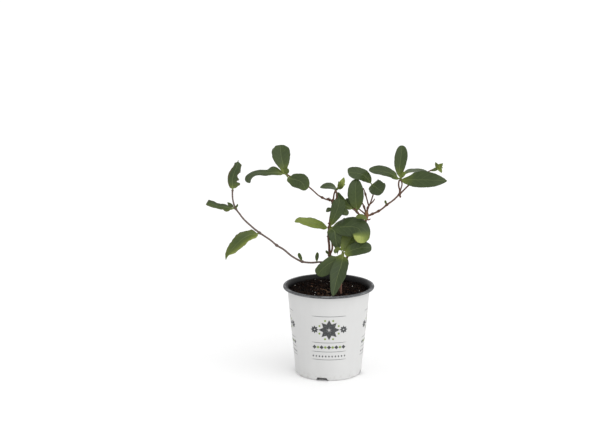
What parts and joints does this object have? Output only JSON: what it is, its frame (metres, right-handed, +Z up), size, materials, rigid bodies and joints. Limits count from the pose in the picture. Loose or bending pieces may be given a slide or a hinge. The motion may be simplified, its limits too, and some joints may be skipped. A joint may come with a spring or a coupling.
{
  "type": "potted honeysuckle",
  "caption": "Young climbing honeysuckle in a round tapered nursery pot: thin woody stems with opposite pairs of oval leaves, standing in dark bark-and-peat soil.",
  "frame": {"origin": "middle of the underside of the pot's centre pad, on the surface that the pot stands on", "axes": "+Z up along the pot's axis, +X to the right along the long low runner and the arm, -Y towards the viewer"},
  "size_m": [0.2973, 0.1195, 0.2877],
  "materials": {
    "pot_plastic": "satin",
    "soil": "matte",
    "bark_red": "matte",
    "bark_grey": "matte",
    "shoot_green": "satin",
    "leaf_dark": "satin",
    "leaf_mid": "satin",
    "leaf_light": "satin"
  },
  "bodies": {
    "root": {"pot": "pot_plastic", "soil": "soil", "stem_centre": "bark_red", "stem_runner_low": "bark_grey", "stem_runner_high": "bark_red", "stem_right": "bark_red", "stem_green": "shoot_green", "leaf_low_a": "leaf_light", "leaf_low_b": "leaf_mid", "leaf_low_c": "leaf_mid", "leaf_low_d": "leaf_mid", "leaf_low_e": "leaf_mid", "leaf_high_a": "leaf_dark", "leaf_high_b": "leaf_mid", "leaf_high_c": "leaf_dark", "leaf_high_d": "leaf_light", "leaf_centre_a": "leaf_light", "leaf_centre_b": "leaf_dark", "leaf_centre_c": "leaf_dark", "leaf_centre_d": "leaf_dark", "leaf_centre_e": "leaf_dark", "leaf_centre_f": "leaf_dark", "leaf_centre_g": "leaf_dark", "leaf_green_a": "leaf_dark", "leaf_green_b": "leaf_mid", "leaf_green_c": "leaf_dark", "leaf_green_d": "leaf_mid", "leaf_green_e": "leaf_mid", "leaf_hub_a": "leaf_dark", "leaf_hub_b": "leaf_dark", "leaf_hub_c": "leaf_dark", "leaf_hub_d": "leaf_dark", "leaf_hub_e": "leaf_dark", "leaf_arm_a": "leaf_dark", "leaf_arm_b": "leaf_dark", "leaf_arm_c": "leaf_dark", "leaf_arm_d": "leaf_light", "leaf_arm_e": "leaf_dark", "shoot_top": "leaf_light", "shoot_arm": "leaf_light", "bud_low_a": "shoot_green", "bud_low_b": "shoot_green", "bud_arm": "shoot_green", "bud_centre": "shoot_green"}
  },
  "joints": []
}
